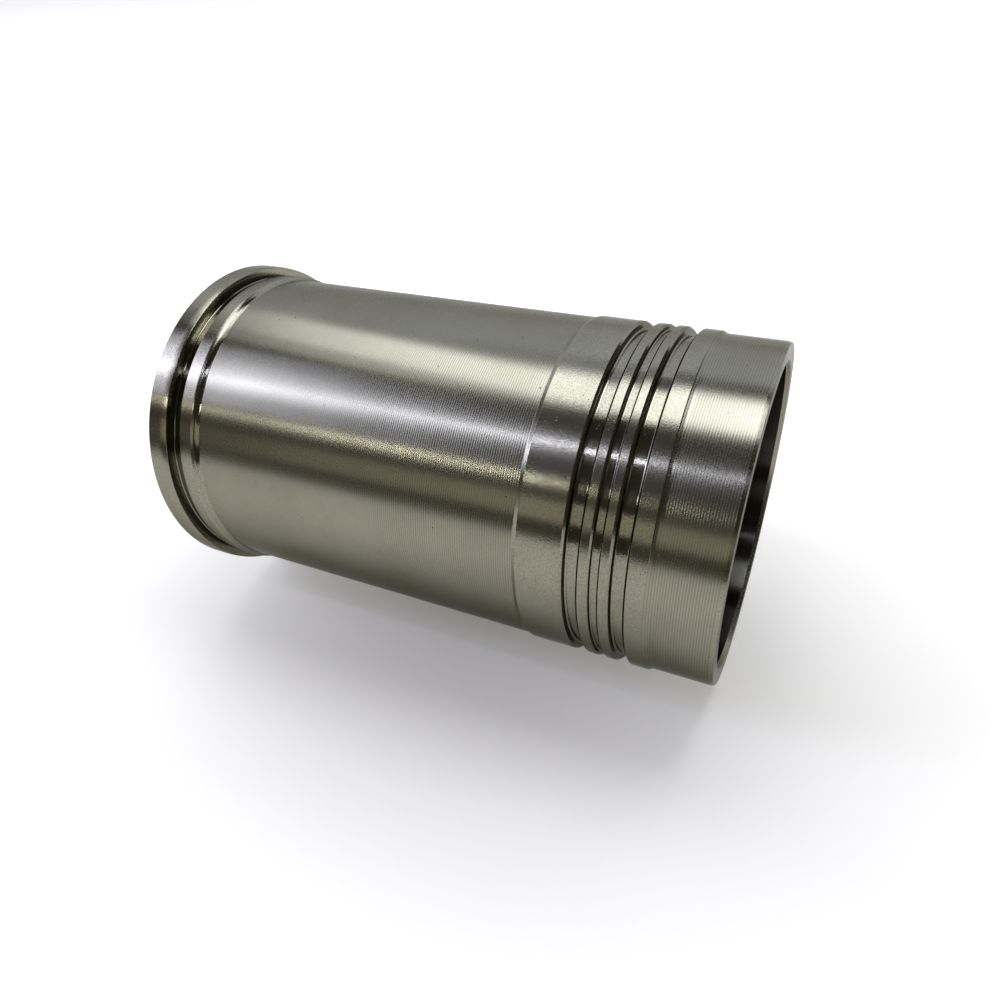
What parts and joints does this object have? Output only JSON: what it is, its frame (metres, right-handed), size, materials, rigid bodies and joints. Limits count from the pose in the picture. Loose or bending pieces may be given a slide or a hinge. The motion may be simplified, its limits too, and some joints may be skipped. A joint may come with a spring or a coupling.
{
  "type": "cylinder liner",
  "caption": "Flanged wet cylinder liner: a turned cast-iron sleeve with a honed bore, a top flange over a belt, and a lower belt with seal grooves.",
  "frame": {"origin": "on the bore axis at the lower end face, which the liner stands on", "axes": "+Z along the bore axis from the lower end to the flange; X and Y are alike, because it is a body of revolution"},
  "size_m": [0.1272, 0.1272, 0.2125],
  "materials": {
    "liner_iron": "fine turned, bright"
  },
  "bodies": {
    "root": {"cylinder_liner": "liner_iron"}
  },
  "joints": []
}
